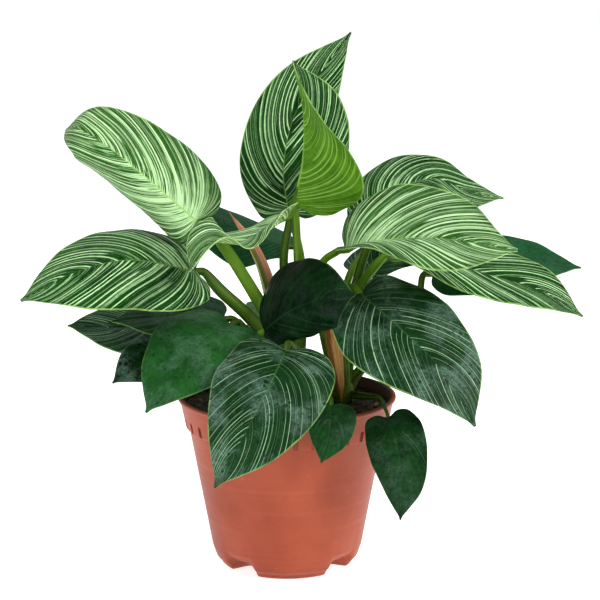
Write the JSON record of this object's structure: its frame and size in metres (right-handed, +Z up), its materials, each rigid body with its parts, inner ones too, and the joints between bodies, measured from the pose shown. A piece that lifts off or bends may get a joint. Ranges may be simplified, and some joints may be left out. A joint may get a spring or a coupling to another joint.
{
  "type": "potted philodendron",
  "caption": "Bushy potted houseplant: pointed leaves with pale stripes on arching stalks over a flared round plastic nursery pot filled with soil.",
  "frame": {"origin": "centre of the pot's flat underside, on the ground plane", "axes": "+Z up; +Y away from the side with the lowest front leaves; +X to the right as seen from that side"},
  "size_m": [0.3555, 0.2489, 0.3384],
  "materials": {
    "pot_plastic": "satin moulded terracotta-red plastic, thin walled",
    "potting_soil": "dark moist potting mix with bark fibres",
    "green_stem": "smooth waxy green petioles",
    "pink_sheath": "smooth pinkish leaf sheath",
    "dry_sheath": "dry papery brown sheath",
    "leaf_pale": "glossy green blade crowded with cream stripes",
    "leaf_striped": "glossy green blade with many thin cream stripes",
    "leaf_lined": "glossy dark blade with thin pale lines and a pale margin",
    "leaf_plain": "glossy dark green blade",
    "leaf_dark": "dark blue-green blade in the shade"
  },
  "bodies": {
    "root": {"pot": "pot_plastic", "soil": "potting_soil", "stem_left": "green_stem", "stem_right": "green_stem", "sheath_pink": "pink_sheath", "sheath_dry": "dry_sheath", "leaf_01": "leaf_pale", "leaf_02": "leaf_striped", "leaf_03": "leaf_pale", "leaf_04": "leaf_striped", "leaf_05": "leaf_striped", "leaf_06": "leaf_dark", "leaf_07": "leaf_striped", "leaf_08": "leaf_pale", "leaf_09": "leaf_striped", "leaf_10": "leaf_dark", "leaf_11": "leaf_lined", "leaf_12": "leaf_plain", "leaf_13": "leaf_lined", "leaf_14": "leaf_plain", "leaf_15": "leaf_plain", "leaf_16": "leaf_lined", "leaf_17": "leaf_plain", "leaf_18": "leaf_plain", "leaf_19": "leaf_plain", "leaf_20": "leaf_dark", "leaf_21": "leaf_dark", "leaf_22": "leaf_lined", "leaf_23": "leaf_lined", "leaf_24": "leaf_dark", "leaf_25": "leaf_dark"}
  },
  "joints": []
}
